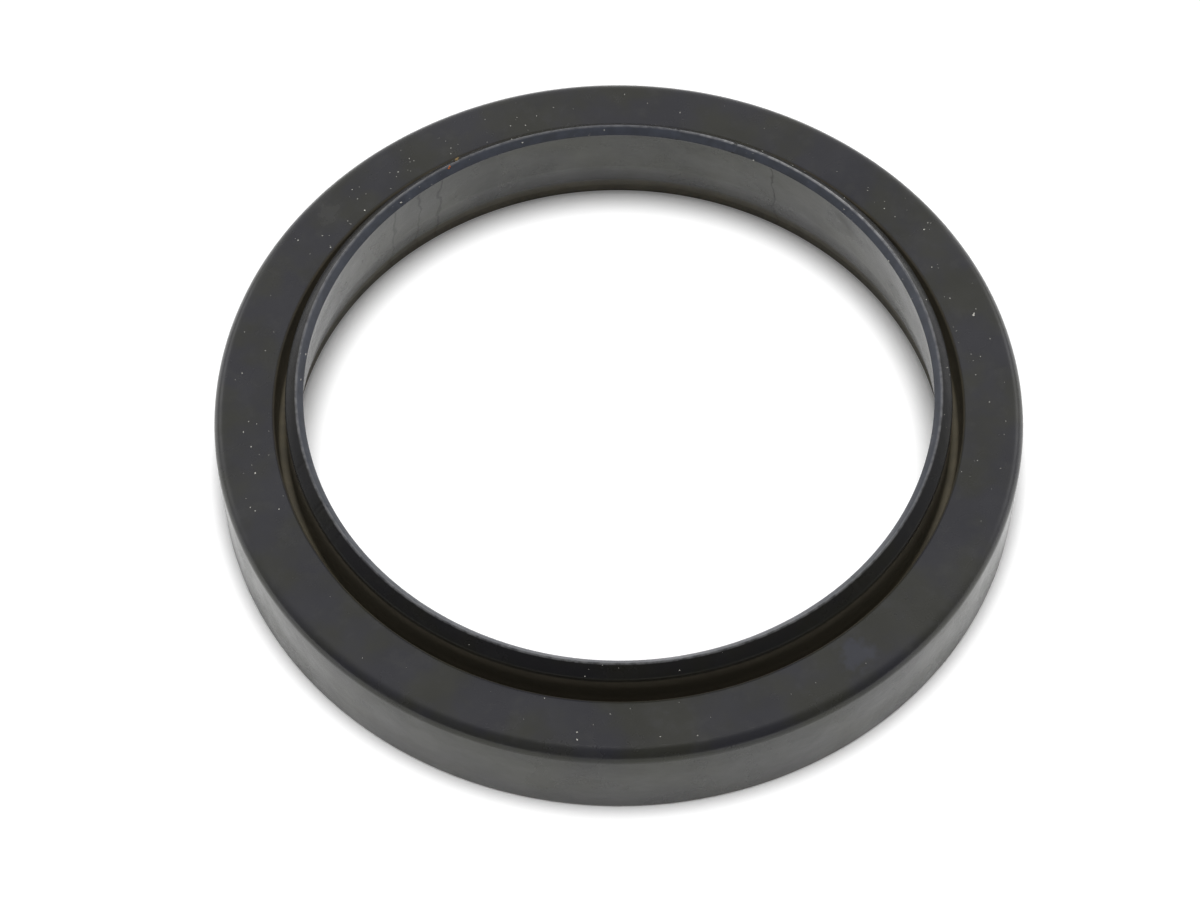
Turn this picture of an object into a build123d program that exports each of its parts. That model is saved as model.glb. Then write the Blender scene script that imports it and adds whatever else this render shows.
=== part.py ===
from build123d import *
from math import radians, tan
import os

os.makedirs("parts", exist_ok=True)

# A U-cup rod seal moulded in one piece, in millimetres.
# Its axis is Z, the flat heel lies on z = 0 and both lips point up.

# Heel, the solid ring the two legs grow from
rod_diameter = 45.0
rod_clearance = 0.15
heel_height = 4.2
heel_land = 0.8
heel_chamfer = 0.15

# Outer leg, thick and upright, with a flat land on top
land_width = 4.1
land_corner = 0.95
land_inner_chamfer = 0.1

# Groove, a narrow slot with a dished floor between the legs
groove_depth = 2.7
groove_offset = 0.75
groove_draft = 2.5
groove_floor_width = 0.64
groove_floor_dish = 0.13

# Inner lip, thin and proud of the land, leaning in over the rod with a trimmed bevel at its tip
lip_rise = 2.0
crest_lean = 0.97
bevel_width = 0.4
bevel_drop = 0.5
waist_height = 3.85
waist_lean = 0.77
waist_blend = 4.0

bore_radius = rod_diameter / 2 + rod_clearance
groove_edge = bore_radius + groove_offset
wall_radius = groove_edge + land_width
land_height = heel_height + groove_depth
crest_height = land_height + lip_rise
crest_radius = bore_radius - crest_lean

# The drafted outer wall of the groove runs down to the floor's edge, and the floor dips between its edges
floor_edge_height = heel_height + groove_floor_dish
floor_outer_radius = groove_edge - (land_height - floor_edge_height) * tan(radians(groove_draft))
floor_inner_radius = floor_outer_radius - groove_floor_width

crest = (crest_radius, crest_height)
sealing_edge = (crest_radius - bevel_width, crest_height - bevel_drop)
waist = (bore_radius - waist_lean, waist_height)
heel_land_top = (bore_radius, heel_land)
heel_inner = (bore_radius, 0)
heel_outer = (wall_radius, 0)
land_outer = (wall_radius, land_height)
land_inner = (groove_edge, land_height)
floor_outer = (floor_outer_radius, floor_edge_height)
floor_middle = (floor_outer_radius - groove_floor_width / 2, heel_height)
lip_root = (floor_inner_radius, floor_edge_height)


def corner(place):
    """The section's corner nearest a (radius, height) place."""
    return section.vertices().sort_by_distance(place)[0]


with BuildPart() as seal:
    with BuildSketch(Plane.XZ) as section:
        with BuildLine():
            Polyline(
                crest, sealing_edge, waist, heel_land_top, heel_inner,
                heel_outer, land_outer, land_inner, floor_outer,
            )
            ThreePointArc(floor_outer, floor_middle, lip_root)
            TangentArc(lip_root, crest, tangent=(0, 1))
        make_face()
        fillet(corner(land_outer), land_corner)
        fillet(corner(waist), waist_blend)
        chamfer([corner(heel_inner), corner(heel_outer)], heel_chamfer)
        chamfer(corner(land_inner), land_inner_chamfer)
    revolve(axis=Axis.Z)

seal.part.label = "u_cup_seal"
export_step(seal.part, "parts/u_cup_seal.step")
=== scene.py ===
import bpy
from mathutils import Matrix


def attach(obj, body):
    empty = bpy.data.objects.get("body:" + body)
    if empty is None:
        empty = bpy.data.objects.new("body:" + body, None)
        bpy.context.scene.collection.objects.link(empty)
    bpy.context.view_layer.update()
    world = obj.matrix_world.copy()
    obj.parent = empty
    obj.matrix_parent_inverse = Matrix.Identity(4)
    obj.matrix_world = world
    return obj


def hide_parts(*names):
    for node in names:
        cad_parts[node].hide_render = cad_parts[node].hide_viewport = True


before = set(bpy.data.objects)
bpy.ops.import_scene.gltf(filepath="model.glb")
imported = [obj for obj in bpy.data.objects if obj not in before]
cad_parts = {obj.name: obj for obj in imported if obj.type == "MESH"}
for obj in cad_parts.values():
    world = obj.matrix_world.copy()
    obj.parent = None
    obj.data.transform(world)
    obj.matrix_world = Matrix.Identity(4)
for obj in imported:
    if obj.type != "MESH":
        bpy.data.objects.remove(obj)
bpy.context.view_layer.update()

import random
from math import cos, pi, radians, sin, tan

import bmesh
import bpy
from mathutils import Matrix, Vector

# The seal ring: one piece of black nitrile rubber, compression moulded, its lip's tip trimmed on a lathe.
# Heel, thick outer leg and thin inner lip are all the same ring, so it is one mesh turned round the Z axis.

MM = 0.001
BORE, HEEL_LAND = 22.65, 0.80
LOW_BORE_RADIUS, LOW_BORE = 22.20, 2.46
WAIST_RADIUS, WAIST = 21.88, 3.85
HIGH_BORE_RADIUS, HIGH_BORE = 21.74, 5.60
SEALING_RADIUS, SEALING_HEIGHT = 21.28, 8.40
CREST_RADIUS, CREST = 21.75, 8.90
SHOULDER_RADIUS, SHOULDER = 22.55, 8.10
LIP_BACK_RADIUS, LIP_BACK = 22.64, 6.20
GROOVE_INNER, GROOVE_OUTER, GROOVE_FLOOR = 22.70, 23.27, 4.20
GROOVE_EDGE = 23.38
WALL = 27.50
LAND, LAND_CORNER = 6.90, 0.95
HEEL_CORNER = 0.15
CREST_BLEND = 0.05
# The crest's corner stands this much too high, because its blend takes as much off again.
CREST_SPARE = 0.04
STEPS_ROUND = 1280


def rounded(corners):
    """The corners of a path as (radius, height, blend, steps), each one turned into a small arc."""
    path = []
    for here, (r, z, blend, steps) in enumerate(corners):
        if blend == 0:
            path.append((r, z))
            continue
        place = Vector((r, z))
        back = (Vector(corners[here - 1][:2]) - place).normalized()
        ahead = (Vector(corners[(here + 1) % len(corners)][:2]) - place).normalized()
        half = back.angle(ahead) / 2
        middle = place + (back + ahead).normalized() * blend / sin(half)
        start = place + back * blend / tan(half)
        end = place + ahead * blend / tan(half)
        turn = (start - middle).angle_signed(end - middle)
        for step in range(steps + 1):
            spoke = (start - middle).copy()
            spoke.rotate(Matrix.Rotation(-turn * step / steps, 2))
            path.append(tuple(middle + spoke))
    return path


# Points in the middle of the heel, wall and land keep the smooth shading flat there.
profile = rounded([
    (CREST_RADIUS, CREST + CREST_SPARE, CREST_BLEND, 4),
    (SEALING_RADIUS, SEALING_HEIGHT, CREST_BLEND, 3),
    (HIGH_BORE_RADIUS, HIGH_BORE, 0, 0),
    (WAIST_RADIUS, WAIST, 4.0, 6),
    (LOW_BORE_RADIUS, LOW_BORE, 0, 0),
    (BORE, HEEL_LAND, 0.25, 2),
    (BORE, 0.0, HEEL_CORNER, 3),
    (25.0, 0.0, 0, 0),
    (WALL, 0.0, HEEL_CORNER, 3),
    (WALL, 2.0, 0, 0),
    (WALL, 4.0, 0, 0),
    (WALL, LAND, LAND_CORNER, 12),
    (25.6, LAND, 0, 0),
    (24.5, LAND, 0, 0),
    (GROOVE_EDGE, LAND, 0.25, 5),
    (GROOVE_OUTER, GROOVE_FLOOR, 0.25, 4),
    (GROOVE_INNER, GROOVE_FLOOR, 0.25, 4),
    (LIP_BACK_RADIUS, LIP_BACK, 0, 0),
    (SHOULDER_RADIUS, SHOULDER, 0.45, 6),
])

# Nicks in the thin tip, as angle in degrees, width and depth in mm: two cuts from handling, then small ones.
nicks = [(68.0, 0.34, 0.16), (79.2, 0.22, 0.09)]
SMALL_NICKS = 46
chance = random.Random(7)
for _ in range(SMALL_NICKS):
    nicks.append((chance.uniform(0, 360), chance.uniform(0.12, 0.45), chance.uniform(0.01, 0.045)))
# Wear fades out this far under the sealing edge.
WORN_BELOW = 0.3


def worn_tip(a):
    """How far the tip is worn down at the angle a, in mm."""
    loss = 0
    for place, width, depth in nicks:
        off = (a - radians(place) + pi) % (2 * pi) - pi
        loss += depth * max(0, 1 - (off * CREST_RADIUS / width * 2) ** 2)
    return loss


ring_mesh = bpy.data.meshes.new("seal_ring")
build = bmesh.new()
rows = []
for turn in range(STEPS_ROUND):
    a = 2 * pi * turn / STEPS_ROUND
    wear = worn_tip(a)
    row = []
    for r, z in profile:
        near_tip = max(0, z - SEALING_HEIGHT + WORN_BELOW) / (CREST - SEALING_HEIGHT + WORN_BELOW)
        row.append(build.verts.new((r * MM * cos(a), r * MM * sin(a), (z - wear * near_tip) * MM)))
    rows.append(row)
for turn, row in enumerate(rows):
    following = rows[(turn + 1) % STEPS_ROUND]
    for spot in range(len(row)):
        after = (spot + 1) % len(row)
        build.faces.new((row[spot], row[after], following[after], following[spot]))
bmesh.ops.recalc_face_normals(build, faces=build.faces)
for face in build.faces:
    face.smooth = True
build.to_mesh(ring_mesh)
build.free()
ring = bpy.data.objects.new("seal_ring", ring_mesh)
bpy.context.collection.objects.link(ring)


def linear(shade):
    """An sRGB hex colour as linear RGBA."""
    parts = [int(shade[at:at + 2], 16) / 255 for at in (1, 3, 5)]
    return [c / 12.92 if c <= 0.04045 else ((c + 0.055) / 1.055) ** 2.4 for c in parts] + [1]


def node(tree, kind, *feeds, out=0, **settings):
    """One node with its settings, its inputs fed in order or from a dict, and the output asked for."""
    made = tree.nodes.new("ShaderNode" + kind)
    for name, value in settings.items():
        setattr(made, name, value)
    for spot, feed in enumerate(feeds):
        sockets = feed if isinstance(feed, dict) else {spot: feed}
        for socket, value in sockets.items():
            if isinstance(value, bpy.types.NodeSocket):
                tree.links.new(value, made.inputs[socket])
            else:
                made.inputs[socket].default_value = value
    return made.outputs[out] if made.outputs else None


def zone(tree, *parts):
    """Where all the parts hold. A part is a mask, a number, or (value, start, end) for a soft step between
    two values, which goes from 0 to 1 or between the two further numbers given."""
    whole = None
    for part in parts:
        if isinstance(part, tuple):
            part = node(tree, "MapRange", *part, interpolation_type="SMOOTHSTEP")
        whole = part if whole is None else node(tree, "Math", whole, part, operation="MULTIPLY")
    return whole


def overlay(tree, under, shade, *parts):
    """The colour under, with another shade laid over it where all the parts hold, whether a film on the
    rubber or painted light or shade.
    """
    feeds = {"Factor": zone(tree, *parts), 6: under, 7: linear(shade)}
    return node(tree, "Mix", feeds, data_type="RGBA", out=2)


# Moulded nitrile rubber gives a deep neutral black with a soft gloss that mirrors whatever is pale beside it.
# Handling leaves bluish and olive films on it, and the bevel, cut after moulding, is more matt, with a paler
# bluish tone painted on it for the light it reflects.
rubber = bpy.data.materials.new("moulded_nitrile_rubber")
rubber.use_nodes = True
tree = rubber.node_tree
tree.nodes.clear()
mm = node(tree, "VectorMath", {0: node(tree, "TexCoord", out="Object"), "Scale": 1 / MM}, operation="SCALE")
x, y, height = [node(tree, "SeparateXYZ", mm, out=axis) for axis in "XYZ"]
radius = node(tree, "VectorMath", mm, (1, 1, 0), operation="MULTIPLY")
radius = node(tree, "VectorMath", radius, operation="LENGTH", out="Value")
angle = node(tree, "Math", node(tree, "Math", y, x, operation="ARCTAN2"), 180 / pi, operation="MULTIPLY")


def cloud(patch, detail, seed):
    """Noise whose patches are about so many millimetres wide."""
    feeds = {"Vector": mm, "W": seed, "Scale": 1 / patch, "Detail": detail, "Roughness": 0.6}
    return node(tree, "TexNoise", feeds, noise_dimensions="4D")


def stain(degrees, r, reach):
    """A ragged spot on the land at an angle and radius, fading out at reach mm from there."""
    middle = (r * cos(radians(degrees)), r * sin(radians(degrees)), LAND)
    off = node(tree, "VectorMath", mm, middle, operation="DISTANCE", out="Value")
    ragged = zone(tree, (cloud(reach / 1.6, 4.0, degrees), 0.3, 0.7, -reach / 3, reach / 3))
    return zone(tree, (node(tree, "Math", off, ragged, operation="ADD"), reach, reach * 0.35))


# The rubber's own black wanders between bluish and olive over several millimetres.
colour = overlay(tree, linear("#2a2a2e"), "#2c2c28", (cloud(6.25, 3.0, 0.0), 0.40, 0.60))
colour = overlay(tree, colour, "#343434", (cloud(1.11, 5.0, 3.0), 0.50, 0.72, 0.0, 0.5))
# The groove is painted a paler brown on both its walls: partly its real brownish grime, partly painted light
# that lifts its shade, paler still on the steep wall of the lip.
groove = zone(tree, (radius, 22.3, 22.5), (radius, 23.55, 23.35), (height, 8.2, 7.6))
colour = overlay(tree, colour, "#514c40", groove, (cloud(1.43, 4.0, 9.0), 0.3, 0.7, 0.65, 1.0))
colour = overlay(tree, colour, "#655f53", groove, (radius, 22.9, 22.75), (height, 5.0, 5.8))
# Painted shade: the shoulder at the top of the lip's back is darkened to nearly black.
shoulder = zone(tree, (height, 7.7, 7.95), (radius, 21.76, 21.84))
colour = overlay(tree, colour, "#12110f", shoulder, 0.62)
# Painted light: the bevel is painted a paler, bluish tone in patches, standing in for the light it reflects.
bevel = zone(tree, (radius, 21.80, 21.70), (height, 8.38, 8.44))
colour = overlay(tree, colour, "#42454d", bevel, (cloud(0.769, 4.0, 5.0), 0.3, 0.7, 0.6, 1.0))
# Painted highlight: a pale thin line is painted along the very crest, patchy and strongest over the far
# right.
far_right = zone(tree, (angle, 22.0, 36.0), (angle, 80.0, 70.0))
highlight_strength = node(tree, "Math", far_right, 0.6, 0.4, operation="MULTIPLY_ADD")
patchy_highlight = (cloud(0.556, 3.0, 12.0), 0.35, 0.6, 0.35, 1.0)
colour = overlay(tree, colour, "#8a8a8c", (height, 8.80, 8.88), patchy_highlight, highlight_strength)
# Thin dark runs wander down the bore wall, each at its angle and about its width in degrees, beside smudges.
bore = zone(tree, (radius, 22.72, 22.66), (height, 8.3, 8.2))
SWAY = 5.0
swayed = node(tree, "Math", cloud(2.22, 2.0, 20.0), SWAY, angle, operation="MULTIPLY_ADD")
runs = 0.0
for degrees, width in ((126, 0.32), (131, 0.26), (137, 0.30), (60, 0.22)):
    off = node(tree, "Math", swayed, degrees + SWAY / 2, operation="SUBTRACT")
    off = node(tree, "Math", off, operation="ABSOLUTE")
    run = zone(tree, (off, width * 1.6, width * 0.4))
    runs = node(tree, "Math", run, runs, operation="MAXIMUM")
runs = zone(tree, runs, bore)
smudge = zone(tree, bore, (cloud(2.86, 3.0, 30.0), 0.48, 0.66))
# Films and stains on the flat land: bluish near right, a broad dull smear far right, a scuff far left.
blue_film = stain(308, 25.2, 1.5)
dull_smear = stain(42, 25.4, 5.0)
scuff = stain(143, 25.6, 1.2)
colour = overlay(tree, colour, "#3a3c47", blue_film, 0.45)
colour = overlay(tree, colour, "#484846", scuff, 0.25)
# A thin brown line of dirt follows the bottom edge where the ring has lain.
colour = overlay(tree, colour, "#4a4036", (height, 0.30, 0.12), (radius, 27.0, 27.3), 0.7)

# Roughness: handling films change it in patches, and the bevel, the stains and the groove are more matt.
rough = zone(tree, (cloud(3.57, 5.0, 40.0), 0.30, 0.70, 0.17, 0.30))
for matt, more in ((bevel, 0.16), (dull_smear, 0.12), (scuff, 0.12), (groove, 0.25)):
    rough = node(tree, "Math", matt, more, rough, operation="MULTIPLY_ADD")

# Shine: what lies on the rubber takes a share of its reflection away.
shine = zone(tree, (cloud(4.55, 4.0, 50.0), 0.32, 0.68, 0.41, 0.52))
low_bore = zone(tree, bore, (height, 4.0, 3.7))
wall = zone(tree, (radius, 27.3, 27.45))
duller = [
    (low_bore, 0.26), (runs, 0.45), (smudge, 0.14), (dull_smear, 0.14),
    (groove, 0.30), (shoulder, 0.68), (wall, 0.16),
]
for dull, share in duller:
    kept = node(tree, "Math", dull, -share, 1.0, operation="MULTIPLY_ADD")
    shine = zone(tree, shine, kept)
# Both upright walls mirror a little warmer than the land does.
upright = node(tree, "Math", wall, bore, operation="MAXIMUM")
sheen = overlay(tree, linear("#ffffff"), "#f8faea", upright)

# Relief in mm: the mould's fine grain, a slow waviness, and faint turning lines on the left of the land.
GRAIN_DEPTH, WAVE_DEPTH, LINE_DEPTH = 0.004, 0.030, 0.0006
LINE_SPACING = 0.24
from_left = node(tree, "Math", angle, 168.0, operation="SUBTRACT")
from_left = node(tree, "Math", from_left, operation="ABSOLUTE")
ripple = node(tree, "Math", radius, 2 * pi / LINE_SPACING, operation="MULTIPLY")
ripple = node(tree, "Math", ripple, operation="SINE")
lines = zone(tree, (radius, 23.6, 23.8), (height, 6.85, 6.88), (from_left, 26.0, 8.0), ripple, LINE_DEPTH)
relief = node(tree, "Math", cloud(0.111, 3.0, 60.0), GRAIN_DEPTH, lines, operation="MULTIPLY_ADD")
relief = node(tree, "Math", cloud(2.0, 2.0, 70.0), WAVE_DEPTH, relief, operation="MULTIPLY_ADD")
skin = node(tree, "BsdfPrincipled", {
    "Base Color": colour,
    "Roughness": rough,
    "Specular IOR Level": shine,
    "Specular Tint": sheen,
    "IOR": 1.5,
    "Normal": node(tree, "Bump", {"Height": zone(tree, relief, MM), "Distance": 1.0, "Strength": 1.0}),
})
node(tree, "OutputMaterial", skin)
ring_mesh.materials.append(rubber)

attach(ring, "root")
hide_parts("u_cup_seal")

# Room dust: pale mineral specks and lint that cling to the rubber, thickest on the left and the right.
# Each speck is a small flattened grain that sits on the surface, as (angle in degrees, radius, height, size).

specks = [
    (139, 23.80, LAND, 0.075), (15.8, 25.40, LAND, 0.10), (16.1, 25.48, LAND, 0.07),
    (31, 21.72, 8.88, 0.06), (57, 21.70, 8.89, 0.06), (135.5, 21.45, 8.62, 0.07),
]
SPECKS_TO_A_SIDE = 34
LARGEST_SPECK = 0.065
# Shares of the specks, added up: those on the land, then those on the shoulder. The rest lie on the bevel.
ON_LAND, ON_SHOULDER = 0.62, 0.84
for middle, spread in ((176, 34), (8, 34), (128, 22), (40, 30), (265, 40), (90, 60)):
    for _ in range(SPECKS_TO_A_SIDE):
        degrees = chance.gauss(middle, spread * 0.5)
        size = min(LARGEST_SPECK, chance.lognormvariate(-3.5, 0.35))
        place = chance.random()
        if place < ON_LAND:
            specks.append((degrees, chance.uniform(23.7, 26.4), LAND, size))
        elif place < ON_SHOULDER:
            along = 0.7 * chance.random()
            specks.append((degrees, CREST_RADIUS + along, CREST - along, size))
        else:
            along = chance.random()
            specks.append((degrees, SEALING_RADIUS + 0.42 * along, SEALING_HEIGHT + 0.45 * along, size))


def scatter(name, grains, material):
    """One mesh of small flattened grains, which rides on the ring."""
    heap = bmesh.new()
    for degrees, r, z, size in grains:
        a = radians(degrees)
        spin = Matrix.Rotation(chance.uniform(0, pi), 4, "Z")
        shape = Matrix.Diagonal((size * chance.uniform(0.7, 1.5), size, size * 0.6, 1))
        spot = Matrix.Translation((r * cos(a), r * sin(a), z))
        grain = Matrix.Scale(MM, 4) @ spot @ spin @ shape
        bmesh.ops.create_icosphere(heap, subdivisions=1, radius=1, matrix=grain)
    mesh = bpy.data.meshes.new(name)
    heap.to_mesh(mesh)
    heap.free()
    mesh.materials.append(material)
    thing = bpy.data.objects.new(name, mesh)
    bpy.context.collection.objects.link(thing)
    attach(thing, "root")


def plain_matt(name, shade):
    """A matt material whose shade wavers a little from grain to grain."""
    made = bpy.data.materials.new(name)
    made.use_nodes = True
    tree = made.node_tree
    tree.nodes.clear()
    feeds = {"Vector": node(tree, "TexCoord", out="Object"), "Scale": 0.9 / MM, "Detail": 1.0}
    darker = [c * 0.6 for c in linear(shade)[:3]] + [1]
    tone = overlay(tree, darker, shade, (node(tree, "TexNoise", feeds), 0.35, 0.65))
    node(tree, "OutputMaterial", node(tree, "BsdfPrincipled", {"Base Color": tone, "Roughness": 0.8}))
    return made


# Settled dust is matt and nearly white, and reads as bright points on the black.
scatter("dust_specks", specks, plain_matt("settled_room_dust", "#c9c7c0"))

# Crumbs caught on the tip: one of orange rubber swarf, one of tan grit and one of dark brown grit.
# They are loose dirt that rests on the crest, made of one or two grains each.

orange_grains = [(123.6, 21.66, 8.86, 0.10), (123.9, 21.60, 8.80, 0.07)]
tan_grains = [(121.6, 21.98, 8.78, 0.12), (121.2, 22.06, 8.74, 0.09)]
brown_grains = [(122.3, 21.86, 8.84, 0.10)]
# Swarf and grit are broken bits with no gloss, and read as flecks of colour.
scatter("orange_crumb", orange_grains, plain_matt("orange_swarf", "#c8713c"))
scatter("tan_crumb", tan_grains, plain_matt("tan_grit", "#8f7a55"))
scatter("brown_crumb", brown_grains, plain_matt("brown_grit", "#2e241a"))

# The table: a sheet of matt white card on a bench, which the seal lies on.
# It is far wider than the seal, so that its far edge stays out of every view from above.

CARD_RADIUS = 0.9
# What the card adds to its own colour when it is looked at, straight or in a reflection, so that it is white.
CARD_LIFT = 0.16
card_mesh = bpy.data.meshes.new("white_card")
build = bmesh.new()
bmesh.ops.create_circle(build, cap_ends=True, segments=96, radius=CARD_RADIUS)
build.to_mesh(card_mesh)
build.free()
card = bpy.data.objects.new("white_card", card_mesh)
bpy.context.collection.objects.link(card)
# Matt card scatters all the light it gets, with no shine.
paper = bpy.data.materials.new("matt_white_card")
paper.use_nodes = True
tree = paper.node_tree
tree.nodes.clear()
seen = 0.0
for ray in ("Is Camera Ray", "Is Glossy Ray", "Is Transmission Ray"):
    seen = node(tree, "Math", node(tree, "LightPath", out=ray), seen, operation="MAXIMUM")
glow = node(tree, "Emission", {"Strength": zone(tree, seen, CARD_LIFT)})
sheet = node(tree, "BsdfDiffuse", (0.9, 0.9, 0.9, 1))
node(tree, "OutputMaterial", node(tree, "AddShader", sheet, glow))
card_mesh.materials.append(paper)

# The studio: a small soft lamp straight overhead, pale walls behind and a darker room in front.
# The walls are only seen as reflections; the light that falls on things is mostly the lamp's.

lamp_data = bpy.data.lights.new("overhead_softbox", "AREA")
lamp_data.shape = "DISK"
lamp_data.size = 0.19
lamp_data.energy = 3.88
lamp = bpy.data.objects.new("overhead_softbox", lamp_data)
lamp.location = (0, 0, 0.62)
lamp.visible_glossy = False
bpy.context.collection.objects.link(lamp)

room = bpy.data.worlds.new("studio_room")
room.use_nodes = True
bpy.context.scene.world = room
tree = room.node_tree
tree.nodes.clear()
way = node(tree, "TexCoord", out="Generated")
depth, upward = [node(tree, "SeparateXYZ", way, out=axis) for axis in "YZ"]
heading = node(tree, "VectorMath", way, (1, 1, 0), operation="MULTIPLY")
heading = node(tree, "VectorMath", heading, operation="NORMALIZE")
across, behind = [node(tree, "SeparateXYZ", heading, out=axis) for axis in "XY"]
across = node(tree, "Math", across, operation="ABSOLUTE")
# Front to back: the dark room in front fades up to the pale back wall.
walls = zone(tree, (depth, -0.45, 0.25, 0.06, 0.85))
# Two pale side screens stand behind the seal, left and right, above the table.
SCREEN = 1.2
screens = zone(
    tree, (across, 0.45, 0.75), (behind, 0.1, 0.4), (upward, 0.15, 0.28), (upward, 0.4, 0.6, 1.0, 0.0), SCREEN
)
total = node(tree, "Math", walls, screens, operation="ADD")
DIFFUSE_SHARE = 0.15
power = zone(tree, total, (node(tree, "LightPath", out="Is Diffuse Ray"), 0.0, 1.0, 1.0, DIFFUSE_SHARE))
node(tree, "OutputWorld", node(tree, "Background", {"Strength": power}))

# The camera looks down on the seal from the front at a steep angle with a long lens.
# It is turned very slightly to one side, as a camera held on a stand is.

camera_data = bpy.data.cameras.new("camera")
camera_data.sensor_width = 36
camera_data.lens = 100.7
camera_data.clip_start = 0.01
camera = bpy.data.objects.new("camera", camera_data)
bpy.context.collection.objects.link(camera)
bpy.context.scene.camera = camera
rise = radians(57.39)
away = 0.23375
camera.matrix_world = (
    Matrix.Translation((0, -away * cos(rise), away * sin(rise)))
    @ Matrix.Rotation(pi / 2 - rise, 4, "X")
    @ Matrix.Rotation(radians(0.313), 4, "Y")
    @ Matrix.Rotation(radians(0.023), 4, "X")
    @ Matrix.Rotation(radians(0.342), 4, "Z")
)

bpy.context.scene.view_settings.view_transform = "Standard"
